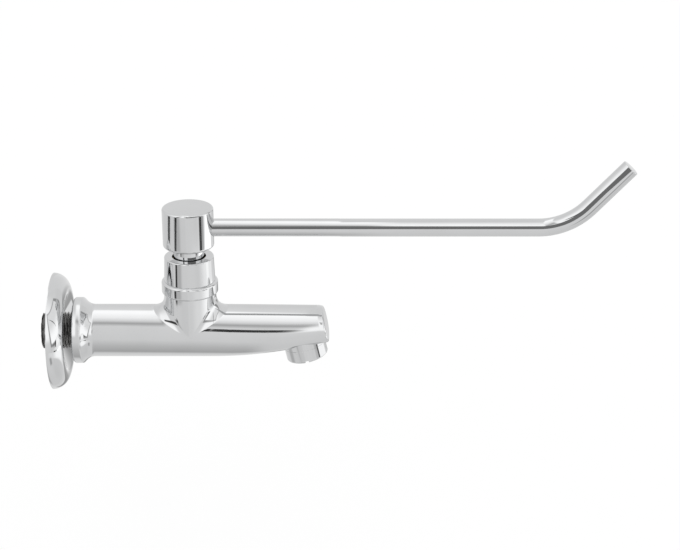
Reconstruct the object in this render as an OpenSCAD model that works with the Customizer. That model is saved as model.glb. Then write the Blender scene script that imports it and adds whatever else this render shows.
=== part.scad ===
// Elbow lever tap for a wall: a round body with a turret, a spout with a tilted outlet,
// a quarter turn ceramic cartridge and a long bent lever on a round hub.
// The origin lies on the inlet axis in the wall plane. X leads out of the wall, Z up.

/* [Inlet] */
// outside diameter of the inlet thread
thread_d = 20.955; // [20.8:0.005:21.1]
// length of the thread behind the wall plane
thread_back = 5.8; // [3:0.1:12]
// bore of the inlet
inlet_bore_d = 13; // [10:0.1:14]
// diameter of the spigot of the tail in the body
spigot_d = 17.2; // [16:0.1:18]
// length of the spigot in the body
spigot_len = 12; // [9:0.1:14]
// thickness of the sealing ring at the end of the spigot
tail_seal_t = 1.5; // [1:0.1:2]

/* [Wall flange] */
// outside diameter of the wall flange
flange_d = 66.4; // [60:0.1:72]
// radius of the rounded rim of the wall flange
flange_round = 9; // [8:0.1:9.4]
// how far the centre of the rim round lies behind the wall plane
flange_sink = 0.5; // [0.3:0.1:1]
// slope of the dished middle in degrees
flange_dish = 20; // [12:1:24]
// thickness of the flange sheet
flange_t = 1.1; // [0.8:0.1:1.5]
// gap between flange and thread where the flange hangs on it
flange_gap = 0.9; // [0.85:0.05:1.1]
// how far the loose flange hangs below the inlet axis
flange_drop = 0.5; // [0.3:0.1:0.6]

/* [Body] */
// distance of the collar from the wall plane
collar_x = 11.9; // [11:0.1:14]
// diameter of the collar
collar_d = 37.6; // [34:0.1:40]
// length of the straight part of the collar
collar_len = 4.5; // [3.5:0.1:6]
// rounding of the collar edge at the wall end
collar_edge = 1.2; // [0.5:0.1:2]
// rounding of the collar edge at the tube
collar_round = 1.6; // [1:0.1:2]
// slope between collar and tube in degrees
collar_slope = 49; // [42:1:56]
// hollow rounding between collar and tube
collar_hollow = 7; // [5:0.1:8]
// diameter of the body tube
tube_d = 29.8; // [29:0.1:31]
// distance of the turret axis from the wall plane
turret_x = 78.2; // [70:0.1:90]
// how much narrower than the tube the turret is below its lip
turret_inset = 0.3; // [0.2:0.05:0.8]
// diameter of the rounded lip of the turret
lip_d = 31.8; // [30.4:0.1:33]
// height of the lower edge of the lip above the tube axis
lip_low = 24; // [22:0.1:25]
// height of the turret top above the tube axis
turret_top = 31.4; // [30:0.1:33]
// rounding under the lip of the turret
lip_low_round = 2; // [1.6:0.1:2.4]
// rounding of the top edge of the lip
lip_top_round = 1.3; // [0.8:0.1:2]
// run of the cast fillet between turret and tube
fillet_run = 7.2; // [5:0.1:8]

/* [Spout] */
// where the underside begins to rise, from the turret axis
spout_rise_x = 11.5; // [9:0.1:13]
// slope of the underside and tilt of the outlet in degrees
outlet_tilt = 13; // [9:1:14]
// where the underside becomes straight, from the turret axis
spout_straight_x = 57.5; // [55:0.1:59]
// top edge of the end face, from the turret axis
tip_top_x = 74.7; // [73:0.1:77]
// fall of the top line of the spout at the end face
tip_drop = 0.7; // [0.4:0.1:1.5]
// height of the end face
tip_h = 18.8; // [18:0.1:19.2]
// tilt of the end face in degrees
tip_tilt = 12; // [10:1:16]
// width of the spout at the end face
tip_w = 26; // [24:0.1:28]
// fullness of the underside at the end face, 2 is an ellipse
tip_full = 2.6; // [2:0.1:3]
// rise of the widest line of the spout at the end face
tip_mid = 3.5; // [2:0.1:5]
// rounding of the edge of the end face
tip_edge = 1.2; // [0.8:0.1:2]
// diameter of the waterway in the spout
passage_d = 7.6; // [6:0.1:8]
// height of the waterway where it leaves the cartridge chamber
passage_z = 12.2; // [11.8:0.1:12.4]
// start of the waterway, from the turret axis
passage_x = 4; // [3:0.1:5]
// length of the waterway
passage_len = 55; // [54:0.1:57]
// fall of the waterway in degrees
passage_fall = 15; // [15:0.1:15.4]

/* [Outlet] */
// position of the outlet along the spout, from the turret axis
outlet_x = 64.4; // [63:0.1:65.4]
// diameter of the outlet nozzle
nozzle_d = 23.8; // [23:0.1:24.4]
// visible height of the outlet nozzle
nozzle_h = 7.5; // [6:0.1:8.5]
// height of the boss that takes the nozzle
boss_h = 8; // [7.8:0.1:8.4]
// diameter of the screwed part of the nozzle
nozzle_thread_d = 19.6; // [18.6:0.1:20]
// length of the screwed part of the nozzle
nozzle_thread_len = 6; // [4:0.1:7]
// inside diameter of the lower lip of the nozzle
nozzle_lip_d = 15.6; // [14.6:0.1:16]
// thickness of the lower lip of the nozzle
nozzle_lip_t = 2.4; // [2:0.1:2.6]
// diameter of the aerator insert
insert_d = 17; // [16.6:0.1:17.2]
// thickness of the floor of the aerator insert
insert_floor = 1.6; // [1.2:0.1:2]
// wall of the aerator insert
insert_wall = 1.2; // [1:0.1:1.4]
// diameter of the holes in the insert
insert_hole_d = 1.7; // [1.2:0.1:2]
// thickness of the aerator mesh
screen_t = 0.5; // [0.3:0.1:0.8]
// thickness of the washer above the nozzle
aerator_washer_t = 1.6; // [1.2:0.1:2]
// width of a key notch in the nozzle rim
notch_w = 2; // [1:0.1:3]
// depth of a key notch in the nozzle rim
notch_depth = 1.2; // [0.6:0.1:2]

/* [Bonnet shroud] */
// diameter of the shroud at the turret
shroud_low_d = 28.8; // [28.2:0.1:29]
// diameter of the shroud at the top
shroud_top_d = 27.8; // [27.2:0.1:28.6]
// height of the shroud
shroud_h = 14.2; // [13.4:0.1:15]
// thickness of the top of the shroud
shroud_top_t = 2; // [1.4:0.1:2.4]
// rounding of the top edge of the shroud
shroud_edge = 0.7; // [0.4:0.1:1]
// hole in the top of the shroud
shroud_hole_d = 19; // [18.4:0.1:20]

/* [Cartridge] */
// height of the valve seat above the tube axis
seat_z = 9.6; // [9.4:0.1:10]
// diameter of the port in the valve seat
seat_port_d = 10.6; // [9:0.1:11]
// diameter of the chamber round the cartridge
chamber_d = 19.8; // [19.4:0.1:20]
// diameter of the cartridge thread in the turret
head_thread_d = 20.9; // [20.6:0.1:21.2]
// length of the cartridge thread
head_thread_len = 10.8; // [9:0.1:11]
// diameter of the lower barrel of the cartridge
barrel_d = 17.4; // [17:0.1:17.8]
// diameter of the screwed head of the cartridge under the shroud
head_d = 25; // [24:0.1:25.4]
// height of the screwed head
head_h = 3.6; // [2.5:0.1:4.5]
// size of the hexagon across its flats
hex_af = 20; // [18:0.1:21]
// height of the hexagon
hex_h = 4.6; // [3:0.1:5]
// diameter of the upper barrel of the cartridge
top_barrel_d = 13; // [12.6:0.1:13.2]
// height of the cartridge top above the tube axis
head_top = 45.2; // [44.6:0.1:45.6]
// diameter of the ceramic discs
disc_d = 14.2; // [13.6:0.1:14.6]
// turn of the ports in the lower disc in degrees
port_turn = 52; // [45:1:60]
// sweep of a port in degrees
port_sweep = 76; // [60:1:80]
// radius where the ports begin
port_in_r = 1.6; // [1.2:0.1:2]
// width of the ports
port_w = 3.5; // [3:0.1:3.6]
// thickness of the lower disc
lower_disc_t = 3; // [2.4:0.1:3.2]
// thickness of the upper disc
upper_disc_t = 2.6; // [2.2:0.1:2.8]
// thickness of the seat seal
seat_seal_t = 2.8; // [2.4:0.1:3]
// thickness of the cartridge sealing ring
o_ring_t = 1.7; // [1.4:0.1:1.9]

/* [Spindle] */
// diameter of the spindle in the housing
spindle_d = 10; // [9.6:0.1:10.2]
// diameter of the splined end of the spindle
spline_d = 7.8; // [7.4:0.1:8]
// height of the top of the spindle above the tube axis
spindle_top = 57.6; // [56.6:0.1:58]
// thickness of the foot of the spindle
foot_t = 1.2; // [1:0.1:1.4]
// thickness of the rings that seal the spindle
spindle_ring_t = 1.6; // [1.4:0.1:1.8]
// thickness of the circlip
circlip_t = 1; // [0.8:0.1:1.2]
// thickness of the thrust washer
thrust_t = 0.5; // [0.4:0.1:0.8]
// width of the stop lug on the spindle
lug_w = 2.4; // [2:0.1:3]
// free turn of the stop lug past the ends of its path in degrees
lug_play = 7; // [5:1:9]

/* [Handle] */
// diameter of the hub
hub_d = 28.7; // [28:0.1:31]
// height of the hub underside above the tube axis
hub_low = 51.6; // [51:0.1:53]
// height of the hub
hub_h = 22.7; // [20.6:0.1:24]
// rounding of the top edge of the hub
hub_edge = 1.2; // [0.6:0.1:2]
// rounding of the lower edge of the hub
hub_low_edge = 1.4; // [0.6:0.1:1.6]
// diameter of the neck of the hub
neck_d = 17.2; // [16.6:0.1:17.6]
// diameter of the lever rod
rod_d = 10; // [9.4:0.1:10.4]
// height of the lever rod above the hub underside
rod_rise = 10.8; // [10.6:0.1:11.6]
// depth of the rod in the hub
rod_depth = 9.2; // [7:0.1:9.4]
// distance of the corner of the lever from the turret axis
lever_reach = 211.7; // [150:0.1:250]
// bend of the lever in degrees
lever_bend = 47; // [30:1:60]
// radius of the bend
bend_r = 38; // [25:0.1:50]
// length from the corner of the lever to its end
lever_tip = 48.2; // [40:0.1:70]
// chamfer of the rod end
rod_edge = 0.5; // [0.2:0.1:1]
// diameter of the grub screw in the hub
grub_d = 5; // [4:0.1:5.4]
// length of the grub screw
grub_len = 7; // [5:0.1:8]
// height of the grub screw above the hub underside
grub_rise = 3.2; // [2.9:0.1:3.4]

/* [Fits] */
// radial gap of turning and screwed fits
fit_gap = 0.05; // [0.02:0.01:0.08]
// gap between lapped faces and beside stacked rings
face_gap = 0.05; // [0.02:0.01:0.1]
// free gap between parts that move past each other
free_gap = 0.4; // [0.3:0.05:0.5]

/* [Hidden] */
$fn = 96;
tube_r = tube_d / 2;
turret_r = (tube_d - turret_inset) / 2;
thread_r = thread_d / 2;
rod_z = hub_low + rod_rise;
flange_hole_r = thread_r + flange_gap + flange_drop;
seam_x = turret_x + spout_rise_x;
rise_r = (spout_straight_x - spout_rise_x) / sin(outlet_tilt);
tip_low_x = tip_top_x + tip_h * tan(tip_tilt);
outlet_z = under_z(outlet_x);
socket_r = spigot_d / 2 + fit_gap;
socket_end = collar_x + spigot_len + tail_seal_t + face_gap;
seal_floor = seat_z + face_gap;
disc_low = seal_floor + seat_seal_t;
disc_mid = disc_low + lower_disc_t + face_gap;
disc_top = disc_mid + upper_disc_t;
foot_low = disc_top + face_gap;
dog_h = upper_disc_t / 2;
roof_z = foot_low + foot_t + face_gap;
disc_bore_r = disc_d / 2 + free_gap;
spline_low = head_top + thrust_t + circlip_t + 3 * face_gap + 0.6;
neck_low = turret_top + shroud_h - shroud_top_t - 1;
nozzle_bore_r = insert_d / 2 + fit_gap;
port_r = nozzle_thread_d / 2 + fit_gap;
port_depth = nozzle_thread_len + aerator_washer_t + face_gap;
lug_half = asin(lug_w / spindle_d) + lug_play;
insert_h = nozzle_h - nozzle_lip_t + nozzle_thread_len - screen_t - 3 * face_gap;
edge_sweep = 75;
lip_sweep = 55;
lip_top_r = shroud_low_d / 2 + 0.2;
lip_top_sweep = acos(max(0.2, min(0.95, (lip_top_r - lip_d / 2 + lip_top_round) / lip_top_round)));
hollow_r = tube_r + collar_hollow;
hollow_top = hollow_r - collar_hollow * cos(collar_slope);
round_low = collar_d / 2 - collar_round * (1 - cos(collar_slope));
hollow_x = collar_x + collar_len + collar_round * sin(collar_slope)
    + (round_low - hollow_top) / tan(collar_slope) + collar_hollow * sin(collar_slope);

// height of the underside of the spout at a distance from the turret axis
function under_z(x) = x < spout_rise_x ? -tube_r
    : x < spout_straight_x ? -tube_r + rise_r - sqrt(pow(rise_r, 2) - pow(x - spout_rise_x, 2))
    : -tube_r + rise_r * (1 - cos(outlet_tilt)) + (x - spout_straight_x) * tan(outlet_tilt);
// height of the top line of the spout
function over_z(x) = tube_r - tip_drop * pow(max(0, x - spout_rise_x) / (tip_top_x - spout_rise_x), 1.5);
// half width of the spout along its length, u runs from 0 to 1
function half_w(u) = tube_r - (tube_r - tip_w / 2) * pow(u, 2);
// points of a rounded corner, from one angle to another
function corner(x, y, r, a, b) = [for (i = [0:5]) let (t = a + (b - a) * i / 5)
    [x + r * cos(t), y + r * sin(t)]];

// one cross section of the spout, shrunk by s and moved back by b along its axis
function spout_ring(u, s, b) =
    let (xl = spout_rise_x + u * (tip_low_x - spout_rise_x),
        xt = spout_rise_x + u * (tip_top_x - spout_rise_x),
        low = [xl, under_z(xl)],
        top = [xt, over_z(xt)],
        mid = low + (top - low) * (tip_mid * pow(u, 2) - low[1]) / (top[1] - low[1]),
        full = 2 + (tip_full - 2) * pow(u, 1.5),
        w = half_w(u) - s)
    [for (i = [0:39]) let (a = i * 9,
            y = sin(a) < 0 ? sign(cos(a)) * pow(abs(cos(a)), 2 / full) : cos(a),
            z = sin(a) < 0 ? pow(-sin(a), 2 / full) : sin(a),
            arm = (sin(a) < 0 ? low : top) - mid,
            p = mid + arm * z * (norm(arm) - s) / norm(arm))
        [turret_x + p[0] - b * cos(tip_tilt), y * w, p[1] - b * sin(tip_tilt)]];

// closed solid through a list of rings of n points
module rings_solid(rings, n) {
    polyhedron(
        points = [for (r = rings) for (p = r) p],
        faces = concat(
            [for (j = [0:len(rings) - 2]) for (i = [0:n - 1])
                [j * n + i, (j + 1) * n + i, (j + 1) * n + (i + 1) % n]],
            [for (j = [0:len(rings) - 2]) for (i = [0:n - 1])
                [j * n + i, (j + 1) * n + (i + 1) % n, j * n + (i + 1) % n]],
            [[for (i = [0:n - 1]) i]],
            [[for (i = [n - 1:-1:0]) (len(rings) - 1) * n + i]]),
        convexity = 4);
}

module spout_shape() {
    body_rings = [for (j = [0:13]) let (u = 0.97 * j / 13)
        spout_ring(u, j == 0 ? 0.02 : 0, 0)];
    end_rings = [for (j = [0:4]) let (a = 22.5 * j)
        spout_ring(1, tip_edge * (1 - cos(a)), tip_edge * (1 - sin(a)))];
    rings_solid(concat(body_rings, end_rings), 40);
}

// point t of a curve that leaves a towards b and ends at c
function bent(a, b, c, t) = pow(1 - t, 2) * a + 2 * t * (1 - t) * b + pow(t, 2) * c;

// one cross section of the cast fillet, where turret wall and tube meet at angle a
function fillet_section(a) =
    let (out = [cos(a), sin(a), 0],
        meet = turret_r * out + [0, 0, sqrt(pow(tube_r, 2) - pow(turret_r * sin(a), 2))],
        up = [0, meet[1], meet[2]] / tube_r,
        c = out * up,
        run = fillet_run * tan(acos(c) / 2),
        along = (out - c * up) / sqrt(1 - c * c),
        rise = (up - c * out) / sqrt(1 - c * c),
        b = atan2(meet[2], meet[1]),
        b1 = b + run * (cos(b) * along[2] - sin(b) * along[1]) / tube_r * 180 / PI,
        a1 = a + run * (cos(a) * rise[1] - sin(a) * rise[0]) / turret_r * 180 / PI,
        up1 = [0, cos(b1), sin(b1)],
        out1 = [cos(a1), sin(a1), 0],
        foot = [meet[0] + run * along[0], 0, 0] + tube_r * up1,
        head = turret_r * out1 + [0, 0, meet[2] + run * rise[2]],
        g = (foot - meet) * up1,
        h = (head - meet) * out1,
        k = up1 * out1,
        knee = meet + up1 * (g - h * k) / (1 - k * k) + out1 * (h - g * k) / (1 - k * k),
        mid = (up1 + out1) / norm(up1 + out1),
        sink = mid * (0.08 + 0.5 * pow(sin(a), 4)))
    concat([for (i = [0:6]) bent(head, knee, foot, i / 6) - sink],
        [foot - 1.6 * up1, meet - 3 * mid, head - 1.6 * out1]);

// cast fillet that runs round the foot of the turret
module fillet_ring() {
    n = 60;
    m = 10;
    translate([turret_x, 0, 0])
        polyhedron(
            points = [for (j = [0:n - 1]) for (p = fillet_section(j * 360 / n)) p],
            faces = concat(
                [for (j = [0:n - 1]) for (i = [0:m - 1])
                    [j * m + i, ((j + 1) % n) * m + i, ((j + 1) % n) * m + (i + 1) % m]],
                [for (j = [0:n - 1]) for (i = [0:m - 1])
                    [j * m + i, ((j + 1) % n) * m + (i + 1) % m, j * m + (i + 1) % m]]),
            convexity = 6);
}

// turns a shape made along Z so that it lies along X
module along_x(x) {
    translate([x, 0, 0])
        rotate([0, 90, 0])
            children();
}

// places a shape with its Z along the tilted outlet axis, Z up from the outlet seat
module at_outlet() {
    translate([turret_x + outlet_x, 0, outlet_z])
        rotate([0, -outlet_tilt, 0])
            children();
}

// places a shape on the turret axis
module at_turret(z) {
    translate([turret_x, 0, z])
        children();
}

module tube(d_out, d_in, h) {
    difference() {
        cylinder(d = d_out, h = h);
        translate([0, 0, -1])
            cylinder(d = d_in, h = h + 2);
    }
}

module body() {
    color("gainsboro")
        difference() {
            union() {
                along_x(0)
                    rotate_extrude()
                        polygon(concat(
                            [[0, collar_x], [collar_d / 2 - collar_edge, collar_x]],
                            corner(collar_d / 2 - collar_edge, collar_x + collar_edge, collar_edge,
                                -edge_sweep, 0),
                            corner(collar_d / 2 - collar_round, collar_x + collar_len, collar_round,
                                0, collar_slope),
                            corner(hollow_r, hollow_x, collar_hollow, 180 + collar_slope, 180),
                            [[tube_r, seam_x],
                                [0, seam_x]]));
                at_turret(0)
                    rotate_extrude()
                        polygon(concat(
                            [[0, 0], [turret_r, 0], [turret_r, lip_low]],
                            corner(lip_d / 2 - lip_low_round, lip_low + 1.1 * lip_low_round, lip_low_round,
                                -lip_sweep, 0),
                            corner(lip_d / 2 - lip_top_round, turret_top - lip_top_round, lip_top_round,
                                0, lip_top_sweep),
                            [[lip_top_r, turret_top], [0, turret_top]]));
                fillet_ring();
                spout_shape();
                at_outlet()
                    cylinder(d = nozzle_d, h = boss_h);
            }
            along_x(collar_x - 1)
                cylinder(r = socket_r, h = socket_end - collar_x + 1);
            along_x(collar_x)
                cylinder(d = inlet_bore_d, h = turret_x - collar_x + seat_port_d / 2 - 0.8);
            at_turret(0)
                cylinder(d = seat_port_d, h = seat_z + 1);
            at_turret(seat_z)
                cylinder(d = chamber_d, h = turret_top);
            at_turret(turret_top - head_thread_len)
                cylinder(r = head_thread_d / 2 + fit_gap, h = turret_top);
            at_turret(turret_top - o_ring_t - face_gap)
                cylinder(r = head_thread_d / 2 + o_ring_t + 0.3, h = turret_top);
            at_turret(passage_z)
                translate([passage_x, 0, 0])
                    rotate([0, 90 + passage_fall, 0])
                        cylinder(d = passage_d, h = passage_len);
            at_outlet()
                translate([0, 0, -1])
                    cylinder(r = port_r, h = port_depth + 1);
        }
}

module inlet_tail() {
    color("dimgray")
        along_x(0)
            difference() {
                union() {
                    translate([0, 0, -thread_back])
                        cylinder(r = thread_r, h = thread_back + collar_x);
                    cylinder(d = spigot_d, h = collar_x + spigot_len);
                }
                translate([0, 0, -thread_back - 1])
                    cylinder(d = inlet_bore_d, h = thread_back + collar_x + spigot_len + 2);
            }
}

module tail_seal() {
    color("black")
        along_x(collar_x + spigot_len)
            tube(spigot_d, inlet_bore_d, tail_seal_t);
}

module wall_flange() {
    c_r = flange_d / 2 - flange_round;
    c_x = -flange_sink;
    in_r = flange_round - flange_t;
    up = [-sin(flange_dish), cos(flange_dish)];
    p_out = [c_r + flange_round * up[0], c_x + flange_round * up[1]];
    p_in = [c_r + in_r * up[0], c_x + in_r * up[1]];
    tip = [cos(flange_dish), sin(flange_dish)] * 0.5;
    color("gainsboro")
        translate([0, 0, -flange_drop])
            along_x(0) {
                rotate_extrude()
                    intersection() {
                        difference() {
                            translate([c_r, c_x])
                                circle(r = flange_round);
                            translate([c_r, c_x])
                                circle(r = in_r);
                        }
                        polygon([[c_r, 0],
                            [c_r + flange_sink * up[0] / up[1], 0],
                            [c_r + 12 * up[0], c_x + 12 * up[1]],
                            [c_r + 12, 14], [c_r + 12, 0]]);
                    }
                rotate_extrude()
                    polygon([p_out, p_out + tip - 0.1 * up, p_in + tip + 0.1 * up, p_in,
                        [flange_hole_r, p_in[1] - (p_in[0] - flange_hole_r) * tan(flange_dish)],
                        [flange_hole_r, p_out[1] - (p_out[0] - flange_hole_r) * tan(flange_dish)]]);
            }
}

module bonnet_shroud() {
    top_r = shroud_top_d / 2;
    color("gainsboro")
        at_turret(turret_top)
            rotate_extrude()
                polygon(concat(
                    [[head_d / 2 + fit_gap, 0], [shroud_low_d / 2, 0]],
                    corner(top_r - shroud_edge, shroud_h - shroud_edge, shroud_edge, 2, 90),
                    [[shroud_hole_d / 2, shroud_h],
                        [shroud_hole_d / 2, shroud_h - shroud_top_t],
                        [head_d / 2 + fit_gap - 0.6, shroud_h - shroud_top_t],
                        [head_d / 2 + fit_gap - 0.6, head_h + 1],
                        [head_d / 2 + fit_gap, head_h + 0.4]]));
}

module cartridge_housing() {
    color("goldenrod")
        at_turret(0)
            difference() {
                union() {
                    translate([0, 0, disc_low - 1])
                        cylinder(d = barrel_d, h = turret_top - disc_low);
                    translate([0, 0, turret_top - head_thread_len + 0.4])
                        cylinder(d = head_thread_d, h = head_thread_len);
                    translate([0, 0, turret_top])
                        cylinder(d = head_d, h = head_h);
                    translate([0, 0, turret_top + head_h - 1])
                        cylinder(d = hex_af / cos(30), h = hex_h + 1, $fn = 6);
                    translate([0, 0, turret_top])
                        cylinder(d = top_barrel_d, h = head_top - turret_top);
                }
                translate([0, 0, disc_low - 2])
                    cylinder(r = disc_bore_r, h = roof_z - disc_low + 2);
                cylinder(r = spindle_d / 2 + fit_gap, h = head_top + 1);
                for (a = [45, 135, 225, 315])
                    rotate([0, 0, a])
                        translate([disc_bore_r - 2, -3, disc_mid + 0.2])
                            cube([6, 6, upper_disc_t]);
                translate([0, 0, head_top - 2.2])
                    rotate([0, 0, 135 - lug_half])
                        rotate_extrude(angle = 90 + 2 * lug_half)
                            translate([spindle_d / 2 - 0.5, 0])
                                square([5, 4]);
            }
}

module cartridge_o_ring() {
    color("black")
        at_turret(turret_top - o_ring_t / 2 - face_gap / 2)
            rotate_extrude()
                translate([head_thread_d / 2 + o_ring_t / 2 + 0.15, 0])
                    circle(d = o_ring_t, $fn = 32);
}

module seat_seal() {
    color("black")
        at_turret(seal_floor)
            tube(disc_d, seat_port_d, seat_seal_t);
}

// two quarter ports in a disc
module disc_ports(h, turn) {
    for (a = [turn, turn + 180])
        rotate([0, 0, a])
            translate([0, 0, -1])
                rotate_extrude(angle = port_sweep)
                    translate([port_in_r, 0])
                        square([port_w, h + 2]);
}

module lower_disc() {
    color("ivory")
        at_turret(disc_low)
            difference() {
                cylinder(d = disc_d, h = lower_disc_t);
                disc_ports(lower_disc_t, port_turn);
            }
}

module upper_disc() {
    color("ivory")
        at_turret(disc_mid)
            difference() {
                cylinder(d = disc_d, h = upper_disc_t);
                disc_ports(upper_disc_t, port_turn + 90);
                translate([-1.6, -disc_d, upper_disc_t - dog_h - face_gap])
                    cube([3.2, 2 * disc_d, upper_disc_t]);
            }
}

module spindle() {
    clip_low = head_top + thrust_t + 2 * face_gap;
    color("goldenrod")
        at_turret(0)
            difference() {
                union() {
                    translate([0, 0, foot_low])
                        cylinder(d = disc_d - 0.4, h = foot_t);
                    intersection() {
                        translate([-1.5, -disc_d, foot_low - dog_h + face_gap])
                            cube([3, 2 * disc_d, dog_h + foot_t / 2]);
                        cylinder(d = disc_d - 1, h = head_top);
                    }
                    translate([0, 0, foot_low])
                        cylinder(d = spindle_d, h = spline_low - foot_low);
                    translate([0, 0, foot_low])
                        cylinder(d = spline_d, h = spindle_top - foot_low);
                    rotate([0, 0, 135])
                        translate([2, -lug_w / 2, head_top - 1.9])
                            cube([top_barrel_d / 2 - 2.3, lug_w, 1.6]);
                }
                for (z = [turret_top - 8, turret_top - 3])
                    translate([0, 0, z])
                        tube(spindle_d + 2, spindle_d - 2 * spindle_ring_t, spindle_ring_t + 0.2);
                translate([0, 0, clip_low - face_gap])
                    tube(spindle_d + 2, spindle_d - 1.6, circlip_t + 2 * face_gap);
            }
}

module spindle_o_rings() {
    color("black")
        for (z = [turret_top - 8, turret_top - 3])
            at_turret(z + 0.1 + spindle_ring_t / 2)
                rotate_extrude()
                    translate([spindle_d / 2 + 0.02 - spindle_ring_t / 2, 0])
                        circle(d = spindle_ring_t - 0.04, $fn = 32);
}

module thrust_washer() {
    color("silver")
        at_turret(head_top + face_gap)
            tube(top_barrel_d - 0.2, spindle_d + 0.3, thrust_t);
}

module circlip() {
    color("silver")
        at_turret(head_top + thrust_t + 2 * face_gap)
            difference() {
                tube(top_barrel_d - 0.4, spindle_d - 1.5, circlip_t);
                translate([0, -1.5, -1])
                    cube([top_barrel_d, 3, circlip_t + 2]);
            }
}

module handle_hub() {
    hub_r = hub_d / 2;
    color("gainsboro")
        at_turret(0)
            difference() {
                union() {
                    translate([0, 0, hub_low])
                        rotate_extrude()
                            polygon(concat(
                                [[0, 0]],
                                corner(hub_r - hub_low_edge, hub_low_edge, hub_low_edge, -90, 0),
                                corner(hub_r - hub_edge, hub_h - hub_edge, hub_edge, 0, 90),
                                [[0, hub_h]]));
                    translate([0, 0, neck_low])
                        cylinder(d = neck_d, h = hub_low - neck_low + 2);
                }
                translate([0, 0, neck_low - 1])
                    cylinder(r = top_barrel_d / 2 + free_gap, h = spline_low + 0.2 - neck_low + 1);
                translate([0, 0, neck_low])
                    cylinder(r = spline_d / 2 + fit_gap, h = spindle_top + 0.3 - neck_low);
                translate([hub_r - rod_depth - face_gap, 0, rod_z])
                    rotate([0, 90, 0])
                        cylinder(r = rod_d / 2 + fit_gap, h = hub_r);
                translate([-hub_r - 1, 0, hub_low + grub_rise])
                    rotate([0, 90, 0])
                        cylinder(r = grub_d / 2 + fit_gap, h = hub_r + 1);
            }
}

module lever_rod() {
    back = bend_r * tan(lever_bend / 2);
    start = hub_d / 2 - rod_depth;
    rod_r = rod_d / 2;
    end_len = lever_tip - back;
    end_r = rod_r - 0.05;
    color("gainsboro")
        at_turret(rod_z) {
            translate([start, 0, 0])
                rotate([0, 90, 0])
                    cylinder(r = rod_r, h = lever_reach - back - start);
            translate([lever_reach - back, 0, bend_r])
                rotate([90, 0, 0])
                    rotate([0, 0, -90])
                        rotate_extrude(angle = lever_bend)
                            translate([bend_r, 0])
                                circle(r = rod_r);
            translate([lever_reach + back * cos(lever_bend), 0, back * sin(lever_bend)])
                rotate([0, 90 - lever_bend, 0])
                    rotate_extrude()
                        polygon([[0, -0.3], [end_r, -0.3], [end_r, end_len - rod_edge],
                            [end_r - rod_edge, end_len], [0, end_len]]);
        }
}

module hub_grub_screw() {
    color("silver")
        at_turret(hub_low + grub_rise)
            translate([-spline_d / 2 - fit_gap - grub_len, 0, 0])
                rotate([0, 90, 0])
                    difference() {
                        cylinder(d = grub_d, h = grub_len);
                        translate([0, 0, -1])
                            cylinder(d = grub_d * 0.55, h = 3.4, $fn = 6);
                    }
}

module outlet_nozzle() {
    nozzle_r = nozzle_d / 2;
    color("gainsboro")
        at_outlet()
            difference() {
                rotate_extrude()
                    polygon(concat(
                        [[nozzle_bore_r, nozzle_thread_len],
                            [nozzle_bore_r, nozzle_lip_t - nozzle_h],
                            [nozzle_lip_d / 2, nozzle_lip_t - nozzle_h],
                            [nozzle_lip_d / 2, -nozzle_h + 0.6],
                            [nozzle_lip_d / 2 + 1, -nozzle_h]],
                        corner(nozzle_r - 0.9, -nozzle_h + 0.9, 0.9, -90, 0),
                        [[nozzle_r, 0], [nozzle_thread_d / 2, 0],
                            [nozzle_thread_d / 2, nozzle_thread_len]]));
                for (a = [90, 270])
                    rotate([0, 0, a])
                        translate([nozzle_lip_d / 2 + 0.4, -notch_w / 2, -nozzle_h - 1])
                            cube([nozzle_r, notch_w, notch_depth + 1]);
            }
}

module aerator_washer() {
    color("black")
        at_outlet()
            translate([0, 0, nozzle_thread_len])
                tube(nozzle_thread_d, nozzle_lip_d - 2, aerator_washer_t);
}

module aerator_screen() {
    color("silver")
        at_outlet()
            translate([0, 0, nozzle_lip_t - nozzle_h + insert_h + face_gap])
                difference() {
                    cylinder(d = insert_d, h = screen_t);
                    for (i = [-3:3])
                        for (j = [-3:3])
                            if (norm([i, j]) < 3.4)
                                translate([i * 2 - 0.75, j * 2 - 0.75, -1])
                                    cube([1.5, 1.5, screen_t + 2]);
                }
}

module aerator_insert() {
    color("whitesmoke")
        at_outlet()
            translate([0, 0, nozzle_lip_t - nozzle_h])
                difference() {
                    union() {
                        cylinder(d = insert_d, h = insert_h);
                        translate([0, 0, -nozzle_lip_t / 2])
                            cylinder(r = nozzle_lip_d / 2 - fit_gap, h = nozzle_lip_t);
                    }
                    translate([0, 0, insert_floor])
                        cylinder(d = insert_d - 2 * insert_wall, h = insert_h);
                    for (r = [0:3])
                        for (i = [0:max(0, 6 * r - 1)])
                            rotate([0, 0, i * 60 / max(1, r)])
                                translate([r * 2.05, 0, -nozzle_lip_t])
                                    cylinder(d = insert_hole_d, h = nozzle_lip_t + 2 * insert_floor,
                                        $fn = 24);
                }
}

body();
inlet_tail();
tail_seal();
wall_flange();
bonnet_shroud();
cartridge_housing();
cartridge_o_ring();
seat_seal();
lower_disc();
upper_disc();
spindle();
spindle_o_rings();
thrust_washer();
circlip();
handle_hub();
lever_rod();
hub_grub_screw();
outlet_nozzle();
aerator_washer();
aerator_screen();
aerator_insert();
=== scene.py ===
from math import acos, atan2, cos, pi, radians, sin, sqrt, tan

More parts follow.
